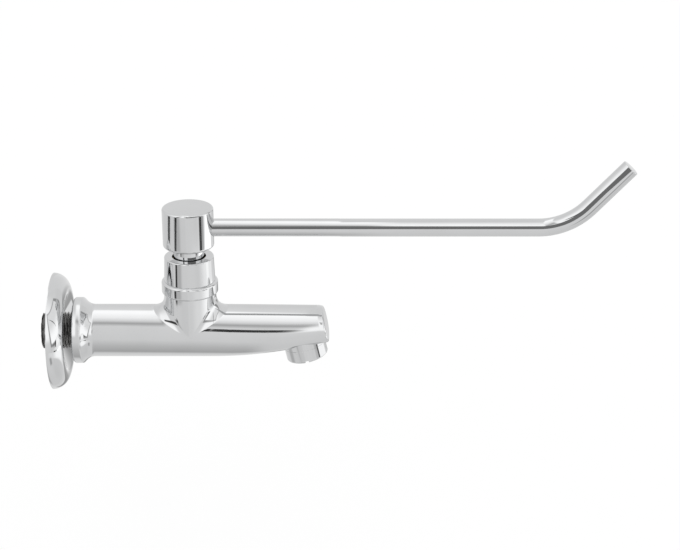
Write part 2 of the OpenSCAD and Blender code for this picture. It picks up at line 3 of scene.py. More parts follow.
import bpy
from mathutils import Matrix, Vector


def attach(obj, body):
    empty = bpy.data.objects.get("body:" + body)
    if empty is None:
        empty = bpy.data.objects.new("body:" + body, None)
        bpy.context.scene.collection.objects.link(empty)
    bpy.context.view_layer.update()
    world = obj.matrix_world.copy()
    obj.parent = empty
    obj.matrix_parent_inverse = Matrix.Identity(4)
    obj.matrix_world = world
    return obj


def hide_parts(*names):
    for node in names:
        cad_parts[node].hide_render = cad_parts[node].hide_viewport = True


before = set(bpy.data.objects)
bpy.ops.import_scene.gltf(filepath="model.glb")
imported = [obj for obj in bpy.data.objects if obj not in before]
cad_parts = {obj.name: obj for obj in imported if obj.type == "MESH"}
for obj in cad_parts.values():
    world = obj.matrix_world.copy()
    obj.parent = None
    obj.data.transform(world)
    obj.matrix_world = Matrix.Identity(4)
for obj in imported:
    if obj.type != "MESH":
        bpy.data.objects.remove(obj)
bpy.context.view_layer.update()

# Body
# The brass casting in bright chrome: a collar at the wall end, a straight tube, the turret with its
# rounded lip, and a spout that thins from below and ends in a tilted oval face. All sizes in mm.
turret_x, turret_r, tube_r = 78.2, 14.75, 14.9
rise_x, straight_x, tip_x = 11.5, 57.5, 74.7
tilt, tip_tilt = radians(13), radians(12)
rise_r = (straight_x - rise_x) / sin(tilt)
tip_height, tip_half_width, tip_round = 18.8, 13, 1.2
tip_low_x = tip_x + tip_height * tan(tip_tilt)
top_drop, middle_lift, flatten = 0.7, 3.5, 0.6


def bow(x, y, r, a, b, steps=6):
    """Points of an arc in a profile, angles in degrees."""
    turns = [radians(a + (b - a) * i / steps) for i in range(steps + 1)]
    return [(x + r * cos(t), y + r * sin(t)) for t in turns]


def under_z(x):
    """Height of the underside of the spout."""
    if x < rise_x:
        return -tube_r
    if x < straight_x:
        return -tube_r + rise_r - sqrt(rise_r**2 - (x - rise_x) ** 2)
    return -tube_r + rise_r * (1 - cos(tilt)) + (x - straight_x) * tan(tilt)


def half_width(s):
    """Half the width of the spout, which narrows toward its tip."""
    return tube_r - (tube_r - tip_half_width) * max(0, (s - rise_x) / (tip_x - rise_x)) ** 2


def skin_point(s, a, shrink=0.0, back=0.0):
    """A point of the tube or spout, s along it from the turret axis, at angle a round it."""
    if s <= rise_x:
        return Vector((turret_x + s, tube_r * cos(a), tube_r * sin(a)))
    u = (s - rise_x) / (tip_x - rise_x)
    low_x = rise_x + u * (tip_low_x - rise_x)
    low = Vector((low_x, 0, under_z(low_x)))
    top = Vector((s, 0, tube_r - top_drop * u**1.5))
    mid = low + (top - low) * (middle_lift * u**2 - low.z) / (top.z - low.z)
    full = 2 / (2 + flatten * u**1.5)
    y, z, arm = cos(a), sin(a), top - mid
    if z < 0:
        y = abs(y) ** full * (1 if y > 0 else -1)
        z, arm = (-z) ** full, low - mid
    p = mid + arm * z * (arm.length - shrink) / arm.length
    p -= Vector((cos(tip_tilt), 0, sin(tip_tilt))) * back
    return Vector((turret_x + p.x, y * (half_width(s) - shrink), p.z))


verts, faces = [], []


def skin(rows, closed=True):
    """Quads between rows of points."""
    start, n = len(verts), len(rows[0])
    for row in rows:
        verts.extend(Vector(p) / 1000 for p in row)
    for j in range(len(rows) - 1):
        here, there = start + j * n, start + (j + 1) * n
        for i in range(n if closed else n - 1):
            k = (i + 1) % n
            faces.append([here + i, here + k, there + k, there + i])


def cap(n):
    """A face over the last row of the skin."""
    faces.append(list(range(len(verts) - n, len(verts))))


# The wall end is turned: the socket for the tail, the collar and its hollow neck down to the tube.
around, saddle_reach = 128, 22.5
angles = [2 * pi * i / around for i in range(around)]
socket_x, socket_r = 25.5, 8.65
collar_x, collar_end, collar_r = 11.9, 16.4, 18.8
face_round, shoulder_round = 1.2, 1.6
throat_x, throat_r = 23.8, 7
wall_end = [(socket_x, socket_r), (collar_x + 0.1, socket_r), (collar_x, socket_r + 0.1)]
wall_end += [(collar_x, collar_r - shoulder_round)]
wall_end += bow(collar_x + face_round, collar_r - face_round, face_round, 180, 90, 8)
wall_end += [(collar_end - 0.8, collar_r)]
wall_end += bow(collar_end, collar_r - shoulder_round, shoulder_round, 90, 41, 6)
wall_end += bow(throat_x, tube_r + throat_r, throat_r, 221, 270, 14)
wall_end += [(x, tube_r) for x in (throat_x + 0.3, 34, 45)]
rows = [[(x, r * cos(a), r * sin(a)) for a in angles] for x, r in wall_end]
verts.extend(Vector(p) / 1000 for p in rows[0])
cap(around)
skin(rows + [[skin_point(-saddle_reach, a) for a in angles]])

# Under the turret the tube runs on as a half pipe. Above it a patch leads up to the turret.
half, quarter, lengthwise = around // 2, around // 4, 32
stations = [saddle_reach - 2 * saddle_reach * j / lengthwise for j in range(lengthwise + 1)]
skin([[skin_point(s, pi + pi * i / half) for i in range(half + 1)] for s in stations], closed=False)
edge = [(saddle_reach, pi / 2 - pi * i / half) for i in range(quarter)]
edge += [(s, 0) for s in stations[:-1]]
edge += [(-saddle_reach, pi * i / half) for i in range(half)]
edge += [(s, pi) for s in reversed(stations[1:])]
edge += [(saddle_reach, pi - pi * i / half) for i in range(quarter)]

# The top of the turret: the lip, and the stepped bore that takes the cartridge.
wall_top, lip_r, lip_top = 23.8, 15.9, 31.4
lip = bow(turret_r + 0.25, wall_top + 0.1, 0.25, 180, 95, 4)
lip += bow(lip_r - 1, 25.15, 1, -80, 0, 8)
lip += [(lip_r, 25.4), (lip_r, 29.7)]
lip += bow(lip_r - 1.3, 29.95, 1.3, 0, 72, 10)
lip += [(lip_r - 1.3, lip_top)]
lip += [(12.45, lip_top), (12.45, 29.65), (10.5, 29.65), (10.5, 20.6)]
lip += [(9.9, 20.6), (9.9, 9.6), (5.3, 9.6), (5.3, 5)]

# Each spoke runs from the edge of the patch over the fillet, up the turret wall and down the bore.
fillet_r = 7.2
flank_steps, fillet_steps, wall_steps = 8, 14, 4
spokes = []
for i, (s0, a0) in enumerate(edge):
    phi = 2 * pi * i / len(edge)
    out = Vector((cos(phi), sin(phi), 0))
    meet = turret_r * out + Vector((0, 0, sqrt(tube_r**2 - (turret_r * sin(phi)) ** 2)))
    up = Vector((0, meet.y, meet.z)) / tube_r
    run = fillet_r * tan(acos(out.dot(up)) / 2)
    along = out.cross(up).normalized()
    down_tube, up_wall = up.cross(along), along.cross(out)
    if down_tube.dot(out) < 0:
        down_tube = -down_tube
    if up_wall.dot(up) < 0:
        up_wall = -up_wall
    a1 = atan2(meet.z, meet.y)
    s1 = meet.x + run * down_tube.x
    a1 += run * (cos(a1) * down_tube.z - sin(a1) * down_tube.y) / tube_r
    phi1 = phi + run * (cos(phi) * up_wall.y - sin(phi) * up_wall.x) / turret_r
    z1 = meet.z + run * up_wall.z
    foot = skin_point(s1, a1)
    head = Vector((turret_x + turret_r * cos(phi1), turret_r * sin(phi1), z1))
    up = (skin_point(s1, a1 + 0.01) - foot).cross(skin_point(s1 + 0.01, a1) - foot).normalized()
    if up.z < 0:
        up = -up
    out = Vector((cos(phi1), sin(phi1), 0))
    meet += Vector((turret_x, 0, 0))
    g, h, c = (foot - meet).dot(up), (head - meet).dot(out), up.dot(out)
    knee = meet + up * (g - h * c) / (1 - c * c) + out * (h - g * c) / (1 - c * c)
    spoke = []
    for k in range(flank_steps + 1):
        t = k / flank_steps
        spoke.append(skin_point(s0 + (s1 - s0) * t, a0 + (a1 - a0) * t))
    for k in range(1, fillet_steps + 1):
        t = k / fillet_steps
        spoke.append(foot * (1 - t) ** 2 + knee * 2 * t * (1 - t) + head * t**2)
    for k in range(1, wall_steps + 1):
        t = k / wall_steps
        turn = phi1 + (phi - phi1) * t
        spoke.append((turret_x + turret_r * cos(turn), turret_r * sin(turn), z1 + (wall_top - z1) * t))
    spoke += [(turret_x + r * cos(phi), r * sin(phi), z) for r, z in lip]
    spokes.append(spoke)
skin([list(row) for row in zip(*spokes)])
cap(len(edge))

# The spout, with a rounded edge round its end face.
last_s = rise_x + 0.97 * (tip_x - rise_x)
spout_steps, round_steps = 36, 10
rows = []
for j in range(spout_steps + 1):
    s = saddle_reach + (last_s - saddle_reach) * j / spout_steps
    rows.append([skin_point(s, a) for a in angles])
for k in range(round_steps + 1):
    t = pi / 2 * k / round_steps
    inward, back = tip_round * (1 - cos(t)), tip_round * (1 - sin(t))
    rows.append([skin_point(tip_x, a, inward, back) for a in angles])
rows += [[skin_point(tip_x, a, tip_round + 0.4 * k) for a in angles] for k in range(1, 4)]
skin(rows)
cap(around)

mesh = bpy.data.meshes.new("body_shell")
mesh.from_pydata(verts, [], faces)
body = bpy.data.objects.new("body_shell", mesh)
bpy.context.collection.objects.link(body)


def pick(ob):
    """Makes one object the selected and active one."""
    bpy.ops.object.select_all(action="DESELECT")
    ob.select_set(True)
    bpy.context.view_layer.objects.active = ob


def clean(ob):
    """Joins doubled points and turns the faces outward."""
    pick(ob)
    bpy.ops.object.mode_set(mode="EDIT")
    bpy.ops.mesh.select_all(action="SELECT")
    bpy.ops.mesh.remove_doubles(threshold=2e-6)
    bpy.ops.mesh.normals_make_consistent(inside=False)
    bpy.ops.object.mode_set(mode="OBJECT")


def rod(r, start, end, sides=128):
    """A straight round bar between two points, in mm."""
    a, b = Vector(start) / 1000, Vector(end) / 1000
    turn = (b - a).to_track_quat("Z", "Y").to_euler()
    bpy.ops.mesh.primitive_cylinder_add(
        vertices=sides, radius=r / 1000, depth=(b - a).length, location=(a + b) / 2, rotation=turn)
    bpy.ops.object.transform_apply(location=True, rotation=True, scale=True)
    return bpy.context.object


def carve(ob, tool, how="DIFFERENCE"):
    """Cuts a tool out of an object, or welds it on, and removes the tool."""
    pick(ob)
    step = ob.modifiers.new("carve", "BOOLEAN")
    step.object, step.operation, step.solver = tool, how, "EXACT"
    bpy.ops.object.modifier_apply(modifier=step.name)
    bpy.data.objects.remove(tool)


def polish(ob, angle=32):
    """Smooth shading with the larger faces kept true."""
    pick(ob)
    bpy.ops.object.shade_smooth_by_angle(angle=radians(angle))
    step = ob.modifiers.new("polish", "WEIGHTED_NORMAL")
    step.keep_sharp, step.weight = True, 60
    bpy.ops.object.modifier_apply(modifier=step.name)


# The boss for the outlet is welded on under the spout and bored.
outlet_x, boss_r, boss_height = 64.4, 11.9, 8
mouth_r, mouth_depth = 9.85, 7.65
outlet = Vector((turret_x + outlet_x, 0, under_z(outlet_x)))
outlet_up = Vector((-sin(tilt), 0, cos(tilt)))
clean(body)
carve(body, rod(boss_r, outlet, outlet + boss_height * outlet_up), "UNION")
carve(body, rod(mouth_r, outlet - outlet_up, outlet + mouth_depth * outlet_up))
pick(body)
bpy.ops.object.shade_smooth_by_angle(angle=radians(32))


class Flow:
    """A value in a node tree, so that shader sums can be written as sums."""

    def __init__(self, tree, out=None):
        self.tree, self.out = tree, out

    def node(self, kind, settings, inputs, pick=0):
        """Adds a node. The stops of a colour ramp are pairs of a place and a grey."""
        made = self.tree.nodes.new(kind)
        for name, value in settings.items():
            if name == "stops":
                stops = made.color_ramp.elements
                for spot, grey in value:
                    stops.new(spot).color = (grey, grey, grey, 1)
                stops.remove(stops[-1])
                stops.remove(stops[0])
            else:
                setattr(made, name, value)
        for name, value in inputs.items():
            if isinstance(value, Flow):
                self.tree.links.new(value.out, made.inputs[name])
            else:
                made.inputs[name].default_value = value
        return Flow(self.tree, made.outputs[pick])

    def sum(self, how, a, b):
        return self.node("ShaderNodeMath", {"operation": how}, {0: a, 1: b})

    def __add__(self, other):
        return self.sum("ADD", self, other)

    def __radd__(self, other):
        return self.sum("ADD", other, self)

    def __sub__(self, other):
        return self.sum("SUBTRACT", self, other)

    def __rsub__(self, other):
        return self.sum("SUBTRACT", other, self)

    def __mul__(self, other):
        return self.sum("MULTIPLY", self, other)

    def __rmul__(self, other):
        return self.sum("MULTIPLY", other, self)

    def __truediv__(self, other):
        return self.sum("DIVIDE", self, other)

    def __rtruediv__(self, other):
        return self.sum("DIVIDE", other, self)

    def ramp(self, low, high, a=0.0, b=1.0):
        """Runs softly from a to b while this value runs from low to high."""
        return self.node("ShaderNodeMapRange", {"interpolation_type": "SMOOTHSTEP"},
            {"Value": self, "From Min": low, "From Max": high, "To Min": a, "To Max": b})

    def noise(self, scale, detail=2.0):
        return self.node("ShaderNodeTexNoise", {}, {"Vector": self, "Scale": scale, "Detail": detail})

    def mix(self, a, b):
        return self.node("ShaderNodeMix", {"data_type": "RGBA"}, {"Factor": self, 6: a, 7: b}, pick=2)

    def bump(self, strength, depth):
        """A bumpy normal with this value as its height, the depth in metres."""
        return self.node("ShaderNodeBump", {}, {"Strength": strength, "Distance": depth, "Height": self})


def paint(name, metallic):
    """A new material: the material, its shader and its object coordinates."""
    mat = bpy.data.materials.new(name)
    mat.use_nodes = True
    shader = mat.node_tree.nodes["Principled BSDF"]
    shader.inputs["Metallic"].default_value = metallic
    return mat, shader, Flow(mat.node_tree).node("ShaderNodeTexCoord", {}, {}, pick=3)


def feed(shader, **inputs):
    """Links values to the inputs of a shader."""
    for name, value in inputs.items():
        value.tree.links.new(value.out, shader.inputs[name.replace("_", " ")])


chrome, shader, place = paint("chrome", 1.0)
haze = place.noise(55, 3).ramp(0.35, 0.75)
lint = place.noise(2600, 1).ramp(0.62, 0.72)
feed(shader,
    Base_Color=(haze * 0.5 + lint * 0.5).mix((0.675, 0.68, 0.685, 1), (0.64, 0.645, 0.65, 1)),
    Roughness=0.022 + haze * 0.03 + lint * 0.03,
    Normal=place.noise(90, 2).bump(0.02, 0.0002))
body.data.materials.append(chrome)
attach(body, "tap_body")
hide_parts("body")

# Inlet tail
# The threaded tail that screws into the wall fitting, with a plain spigot in the collar and the
# water bore through it. A real G 1/2 helix of fourteen turns an inch. Its metal is painted dark,
# as painted shade for the shadow behind the flange.
pitch, crest, root = 1.814, 10.47, 9.31
crest_x, flat, ease = 0.88, 0.18, 0.14
thread_start, thread_turns = -9, 13
tail_start, tail_shoulder = -5.8, 11.85
spigot_r, spigot_end = 8.6, 23.9
water_r, water_end = 6.5, 30


def wire(name, points):
    """A wire of points in mm, made from one vertex by extruding it along, and left in edit mode."""
    spots = [Vector(p) / 1000 for p in points]
    bpy.ops.object.select_all(action="DESELECT")
    bpy.ops.mesh.primitive_plane_add(size=0.001, location=(0, 0, 0))
    bpy.context.object.name = name
    bpy.ops.object.mode_set(mode="EDIT")
    bpy.ops.mesh.select_all(action="SELECT")
    bpy.ops.mesh.merge(type="CENTER")
    bpy.ops.transform.translate(value=spots[0])
    for a, b in zip(spots, spots[1:]):
        bpy.ops.mesh.extrude_vertices_move(TRANSFORM_OT_translate={"value": b - a})
    return bpy.context.object


tooth = [(0, root), (flat, root), (flat + ease, root + ease / 2), (crest_x - ease, crest - ease / 2)]
tooth += [(crest_x, crest), (crest_x + flat, crest), (crest_x + flat + ease, crest - ease / 2)]
tooth += [(pitch - ease, root + ease / 2), (pitch, root)]
tail = wire("inlet_thread", [(thread_start + x, 0, r) for x, r in tooth])
bpy.ops.object.mode_set(mode="OBJECT")
step = tail.modifiers.new("helix", "SCREW")
step.axis, step.screw_offset, step.iterations = "X", pitch / 1000, thread_turns
step.steps = step.render_steps = 96
step.use_merge_vertices, step.merge_threshold = True, 2e-6
bpy.ops.object.modifier_apply(modifier=step.name)
bpy.ops.object.mode_set(mode="EDIT")
for x, side in ((tail_start, -1), (tail_shoulder, 1)):
    bpy.ops.mesh.select_all(action="SELECT")
    bpy.ops.mesh.bisect(plane_co=(x / 1000, 0, 0), plane_no=(side, 0, 0), use_fill=True, clear_outer=True)
bpy.ops.object.mode_set(mode="OBJECT")
clean(tail)
carve(tail, rod(spigot_r, (0, 0, 0), (spigot_end, 0, 0)), "UNION")
carve(tail, rod(water_r, (thread_start, 0, 0), (water_end, 0, 0)))
pick(tail)
bpy.ops.object.shade_smooth_by_angle(angle=radians(28))

# Painted shade: the dark base colours stand in for the shadow behind the flange, and the noise only
# varies the tone at random.
painted_shade_thread, shader, place = paint("thread_metal", 1.0)
thread_mottle = place.noise(160, 4).ramp(0.4, 0.65)
feed(shader,
    Base_Color=thread_mottle.mix((0.27, 0.267, 0.262, 1), (0.1, 0.098, 0.095, 1)),
    Roughness=0.2 + thread_mottle * 0.2,
    Normal=place.noise(900, 3).bump(0.2, 0.0003))
tail.data.materials.append(painted_shade_thread)
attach(tail, "tap_body")
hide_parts("inlet_tail")

# Tail seal
# A flat ring of moulded black rubber at the end of the spigot. It keeps the shape of its solid, and
# screwing in the tail squeezes it against the body.
rubber, shader, place = paint("rubber", 0.0)
bloom = place.noise(320, 4).ramp(0.45, 0.7)
feed(shader,
    Base_Color=bloom.mix((0.016, 0.016, 0.017, 1), (0.035, 0.034, 0.033, 1)),
    Roughness=0.5 + bloom * 0.25,
    Normal=place.noise(1500, 3).bump(0.2, 0.0002))


def dress(node, mat):
    """Gives a carried-over solid its material."""
    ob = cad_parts[node]
    ob.data.materials.clear()
    ob.data.materials.append(mat)


dress("tail_seal", rubber)

# Wall flange
# A thin chromed sheet rose with a rounded rim and a dished middle, spun on a lathe. It hangs loose
# on the thread and slides along it to meet the wall.
rim_r, rim_x, hole_r, hang = 24.2, -0.5, 11.88, 0.5
rim_round, sheet, dish = 9, 1.1, 20
outer_start, inner_end = 3.19, 3.63
nick = 0.15


def turned(name, centre, axis, out, profile, steps=160):
    """A closed profile of (radius, height) points in mm, spun round an axis as on a lathe."""
    centre, axis, out = Vector(centre), Vector(axis), Vector(out)
    ob = wire(name, [centre + out * r + axis * h for r, h in profile])
    bpy.ops.mesh.select_all(action="SELECT")
    bpy.ops.mesh.spin(steps=steps, angle=2 * pi, center=centre / 1000, axis=axis)
    bpy.ops.object.mode_set(mode="OBJECT")
    clean(ob)
    return ob


def dished(point):
    """Height of the dished middle at the hole, in line with a point of the rim."""
    return point[1] - (point[0] - hole_r) * tan(radians(dish))


outer = bow(rim_r, rim_x, rim_round, outer_start, 90 + dish, 40)
inner = bow(rim_r, rim_x, rim_round - sheet, 90 + dish, inner_end, 40)
hole_front, hole_back = dished(outer[-1]), dished(inner[0])
profile = outer + [(hole_r + nick, hole_front + 0.04), (hole_r, hole_front - 0.1), (hole_r, hole_back)]
profile += inner + [outer[0]]
flange = turned("flange_rose", (0, 0, -hang), (1, 0, 0), (0, 0, 1), profile, 192)
polish(flange)
flange.data.materials.append(chrome)
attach(flange, "flange")
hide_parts("wall_flange")

# Bonnet shroud
# The plain chromed brass sleeve over the cartridge, turned with a slight taper and a rounded top.
# It screws onto the head of the cartridge and stands on the turret lip.
sleeve_r, sleeve_top_r, sleeve_top, sleeve_round = 14.4, 13.9, 45.6, 0.7
opening_r, hollow_r, screw_r = 9.5, 11.95, 12.55
ceiling_z, screw_top = 43.6, 35.4
profile = [(screw_r, lip_top), (sleeve_r - nick, lip_top), (sleeve_r, lip_top + nick)]
profile += bow(sleeve_top_r - sleeve_round, sleeve_top - sleeve_round, sleeve_round, 2, 90, 8)
profile += [(opening_r + nick, sleeve_top), (opening_r, sleeve_top - nick), (opening_r, ceiling_z)]
profile += [(hollow_r, ceiling_z), (hollow_r, screw_top + 0.6), (screw_r, screw_top), (screw_r, lip_top)]
shroud = turned("shroud_sleeve", (turret_x, 0, 0), (0, 0, 1), (1, 0, 0), profile)
polish(shroud)
shroud.data.materials.append(chrome)
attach(shroud, "tap_body")
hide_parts("bonnet_shroud")

# Cartridge
# The quarter turn ceramic cartridge inside the turret: a machined brass housing and spindle, two
# lapped discs, rubber rings, and a steel circlip over a thrust washer.
brass, shader, place = paint("brass", 1.0)
tool_marks = place.node("ShaderNodeTexWave", {"wave_type": "BANDS", "bands_direction": "Z"},
    {"Vector": place, "Scale": 900, "Distortion": 1.5, "Detail": 2}, pick=1)
tarnish = place.noise(240, 4).ramp(0.4, 0.7)
feed(shader,
    Base_Color=tarnish.mix((0.72, 0.52, 0.22, 1), (0.55, 0.36, 0.13, 1)),
    Roughness=0.22 + tarnish * 0.18 + tool_marks * 0.06,
    Normal=tool_marks.bump(0.15, 0.0001))

ceramic, shader, place = paint("ceramic", 0.0)
fleck = place.noise(1400, 3).ramp(0.4, 0.7)
feed(shader,
    Base_Color=fleck.mix((0.80, 0.78, 0.72, 1), (0.72, 0.69, 0.62, 1)),
    Roughness=0.18 + fleck * 0.12,
    Normal=fleck.bump(0.08, 0.0001))

steel, shader, place = paint("steel", 1.0)
grain = place.noise(1900, 3).ramp(0.35, 0.7)
feed(shader,
    Base_Color=grain.mix((0.46, 0.455, 0.45, 1), (0.34, 0.335, 0.33, 1)),
    Roughness=0.26 + grain * 0.16,
    Normal=grain.bump(0.12, 0.0001))

for node in ("cartridge_housing", "spindle"):
    dress(node, brass)
for node in ("cartridge_o_ring", "seat_seal", "spindle_o_rings"):
    dress(node, rubber)
for node in ("lower_disc", "upper_disc"):
    dress(node, ceramic)
for node in ("thrust_washer", "circlip"):
    dress(node, steel)

# Handle hub
# A plain chromed drum with a crisp rounded top edge and a narrow neck that dips into the shroud.
# It is splined on the spindle and cross bored for the lever and for the grub screw behind.
hub_r, hub_top, hub_low = 14.35, 74.3, 51.6
hub_top_round, hub_low_round = 1.2, 1.4
neck_r, neck_low, recess_r, recess_top = 8.6, 42.6, 6.9, 47.7
spline_r, spline_top = 3.95, 57.9
lever_z, lever_bore_r, lever_bore_start = 62.4, 5.05, 5.1
grub_z, grub_bore_r, past_hub = 54.8, 2.55, 20
profile = [(0, hub_top)]
profile += bow(hub_r - hub_top_round, hub_top - hub_top_round, hub_top_round, 90, 0, 8)
profile += [(hub_r, hub_low + 1.7)]
profile += bow(hub_r - hub_low_round, hub_low + hub_low_round, hub_low_round, 0, -90, 8)
profile += [(neck_r + nick, hub_low), (neck_r, hub_low - nick)]
profile += [(neck_r, neck_low + nick), (neck_r - nick, neck_low)]
profile += [(recess_r, neck_low), (recess_r, recess_top), (spline_r, recess_top), (spline_r, spline_top)]
profile += [(0, spline_top)]
hub = turned("hub_drum", (turret_x, 0, 0), (0, 0, 1), (1, 0, 0), profile)
lever_bore = (turret_x + lever_bore_start, 0, lever_z), (turret_x + past_hub, 0, lever_z)
grub_bore = (turret_x - past_hub, 0, grub_z), (turret_x, 0, grub_z)
carve(hub, rod(lever_bore_r, *lever_bore, sides=64))
carve(hub, rod(grub_bore_r, *grub_bore, sides=48))
polish(hub)
hub.data.materials.append(chrome)
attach(hub, "handle")
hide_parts("handle_hub")

# Lever rod
# A round chromed brass bar, pressed into the hub. It runs straight over the spout and is bent up
# near its end, so that an elbow can push it. Its end is rounded a little.
rod_r, bend_r, bend = 5, 38, radians(47)
lever_start, corner_x, tip_length, seat_length = 5.15, 211.7, 48.2, 8.8
start_cut, end_round = 0.4, 0.55
before_corner = bend_r * tan(bend / 2)
start_x, bend_x = turret_x + lever_start, turret_x + corner_x - before_corner
bpy.ops.object.select_all(action="DESELECT")
bpy.ops.mesh.primitive_circle_add(
    vertices=96, radius=(rod_r - start_cut) / 1000, fill_type="NGON",
    location=(start_x / 1000, 0, lever_z / 1000), rotation=(0, pi / 2, 0))
lever = bpy.context.object
lever.name = "lever_bar"
bpy.ops.object.transform_apply(location=True, rotation=True, scale=True)
bpy.ops.object.mode_set(mode="EDIT")
bpy.ops.mesh.select_all(action="SELECT")


def draw(x, z, grow=1.0):
    """Extrudes the selected ring by a step in mm and resizes it."""
    bpy.ops.mesh.extrude_edges_move(TRANSFORM_OT_translate={"value": (x / 1000, 0, z / 1000)})
    bpy.ops.transform.resize(value=(grow, grow, grow))


bpy.ops.mesh.select_mode(type="EDGE")
draw(start_cut, 0, rod_r / (rod_r - start_cut))
draw(seat_length - start_cut, 0)
draw(bend_x - start_x - seat_length, 0)
bpy.ops.mesh.spin(
    steps=40, angle=bend, center=(bend_x / 1000, 0, (lever_z + bend_r) / 1000), axis=(0, 1, 0))
along_x, along_z = cos(bend), sin(bend)
tip_straight = tip_length - before_corner - end_round
draw(along_x * tip_straight, along_z * tip_straight)
size, far = 1.0, 0.0
for t in (30, 60, 90):
    new_size = (rod_r - end_round * (1 - cos(radians(t)))) / rod_r
    new_far = end_round * sin(radians(t))
    draw(along_x * (new_far - far), along_z * (new_far - far), new_size / size)
    size, far = new_size, new_far
bpy.ops.mesh.edge_face_add()
bpy.ops.mesh.select_mode(type="VERT")
bpy.ops.object.mode_set(mode="OBJECT")
clean(lever)
polish(lever)
lever.data.materials.append(chrome)
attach(lever, "handle")
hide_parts("lever_rod")

# Grub screw
# The small steel socket screw at the back of the hub. It keeps the shape of its solid, and its tip
# presses on the spindle and locks the hub there.
dress("hub_grub_screw", steel)

# Outlet nozzle
# The chromed brass ring under the spout, turned with rounded rims and screwed up into the boss. Two
# key notches are cut in its lower rim for a spanner.
nozzle_low, nozzle_screw_r, screw_height = -7.5, 9.8, 6
nozzle_hollow_r, nozzle_mouth_r, ledge = 8.55, 7.8, -5.1
inner_round, outer_round, gap = 0.8, 0.9, 0.05
notch_size, notch_out, notch_up = (2, 10, 2), 13.2, 0.2
profile = [(nozzle_screw_r, screw_height), (nozzle_hollow_r, screw_height), (nozzle_hollow_r, ledge)]
profile += [(nozzle_mouth_r, ledge), (nozzle_mouth_r, nozzle_low + inner_round)]
profile += bow(nozzle_mouth_r + inner_round, nozzle_low + inner_round, inner_round, 180, 270, 5)
profile += bow(boss_r - outer_round, nozzle_low + outer_round, outer_round, -90, 0, 7)
profile += [(boss_r, -gap - nick), (boss_r - nick, -gap), (nozzle_screw_r, -gap)]
profile += [(nozzle_screw_r, screw_height)]
nozzle = turned("nozzle_ring", outlet, outlet_up, (cos(tilt), 0, sin(tilt)), profile)
for side in (-1, 1):
    notch = outlet + (nozzle_low + notch_up) * outlet_up + Vector((0, side * notch_out, 0))
    bpy.ops.mesh.primitive_cube_add(
        size=1, location=notch / 1000, rotation=(0, -tilt, 0), scale=Vector(notch_size) / 1000)
    bpy.ops.object.transform_apply(location=True, rotation=True, scale=True)
    carve(nozzle, bpy.context.object)
polish(nozzle)
nozzle.data.materials.append(chrome)
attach(nozzle, "tap_body")
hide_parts("outlet_nozzle")

# Aerator
# Inside the nozzle: a rubber washer, a woven steel screen and a moulded white plastic insert with
# holes. The nozzle holds them up against the spout.
plastic, shader, place = paint("plastic", 0.0)
mould = place.noise(700, 3).ramp(0.4, 0.7)
feed(shader,
    Base_Color=mould.mix((0.74, 0.745, 0.74, 1), (0.66, 0.665, 0.66, 1)),
    Roughness=0.38 + mould * 0.15,
    Normal=mould.bump(0.1, 0.0002))
dress("aerator_washer", rubber)
dress("aerator_screen", steel)
dress("aerator_insert", plastic)

# Studio
# A pale floor well below the tap, a soft light tent that shows in the chrome, and the camera. Angles
# in the tent are in degrees, and a level of 1 gives the plain light grey of the chrome.
bpy.ops.object.select_all(action="DESELECT")
bpy.ops.mesh.primitive_plane_add(size=8, location=(0.16, 0, -0.11))
floor = bpy.context.object
floor.name = "floor"
mat, shader, place = paint("floor", 0.0)
shader.inputs["Roughness"].default_value = 0.9
feed(shader, Base_Color=place.noise(30, 3).mix((0.86, 0.86, 0.86, 1), (0.9, 0.9, 0.9, 1)))
glow = place.node("ShaderNodeEmission", {}, {"Color": (1, 1, 1, 1), "Strength": 1.03})
camera_ray = place.node("ShaderNodeLightPath", {}, {}, pick=0)
tree = mat.node_tree
matt = Flow(tree, shader.outputs[0])
blend = place.node("ShaderNodeMixShader", {}, {0: camera_ray * 0.82, 1: matt, 2: glow})
# From below the floor is clear, so that the underside of the tap can be looked at.
from_below = place.node("ShaderNodeNewGeometry", {}, {}, pick=6)
clear = place.node("ShaderNodeBsdfTransparent", {}, {})
blend = place.node("ShaderNodeMixShader", {}, {0: from_below, 1: blend, 2: clear})
tree.links.new(blend.out, tree.nodes["Material Output"].inputs["Surface"])
floor.data.materials.append(mat)
floor.visible_glossy = False

# In front: a dark sloping screen, edge on to the tube and spout, that only the lever mirrors. Its
# lower edge steps up where the lever bends.
screen_y, screen_z, screen_rise, screen_step = -65, 61, 154, 15
lower_edge = [(75, 0), (290, 0), (303, screen_step), (345, screen_step)]
screen = wire("front_screen", [(x, screen_y - up, screen_z + up) for x, up in lower_edge])
bpy.ops.mesh.select_all(action="SELECT")
bpy.ops.mesh.extrude_edges_move(
    TRANSFORM_OT_translate={"value": (0, -screen_rise / 1000, screen_rise / 1000)})
bpy.ops.object.mode_set(mode="OBJECT")
mat = paint("front_screen", 0.0)[0]
tree = mat.node_tree
glow = Flow(tree).node("ShaderNodeEmission", {}, {"Color": (0.2, 0.2, 0.2, 1)})
tree.links.new(glow.out, tree.nodes["Material Output"].inputs["Surface"])
screen.data.materials.append(mat)
screen.visible_camera = screen.visible_diffuse = False
screen.visible_shadow = screen.visible_transmission = False

world = bpy.data.worlds.new("tent")
world.use_nodes = True
bpy.context.scene.world = world
tree = world.node_tree
ray = Flow(tree).node("ShaderNodeTexCoord", {}, {})
dx, dy, dz = [ray.node("ShaderNodeSeparateXYZ", {}, {0: ray}, pick=i) for i in range(3)]
over = dy.sum("ARCTAN2", dz, 0.0 - dy) * (180 / pi)
round_z = dy.sum("ARCTAN2", dx, 0.0 - dy) * (180 / pi)
rise = dz.node("ShaderNodeMath", {"operation": "ARCSINE"}, {0: dz}) * (180 / pi)


def band(value, centre, half, soft):
    """1 inside a band and 0 outside it, with soft edges."""
    enter = value.ramp(centre - half - soft, centre - half)
    return enter * (1.0 - value.ramp(centre + half, centre + half + soft))


def toward(tent, goal, share):
    """Takes the tent toward a level, all the way where the share is 1."""
    return tent + (goal - tent) * share


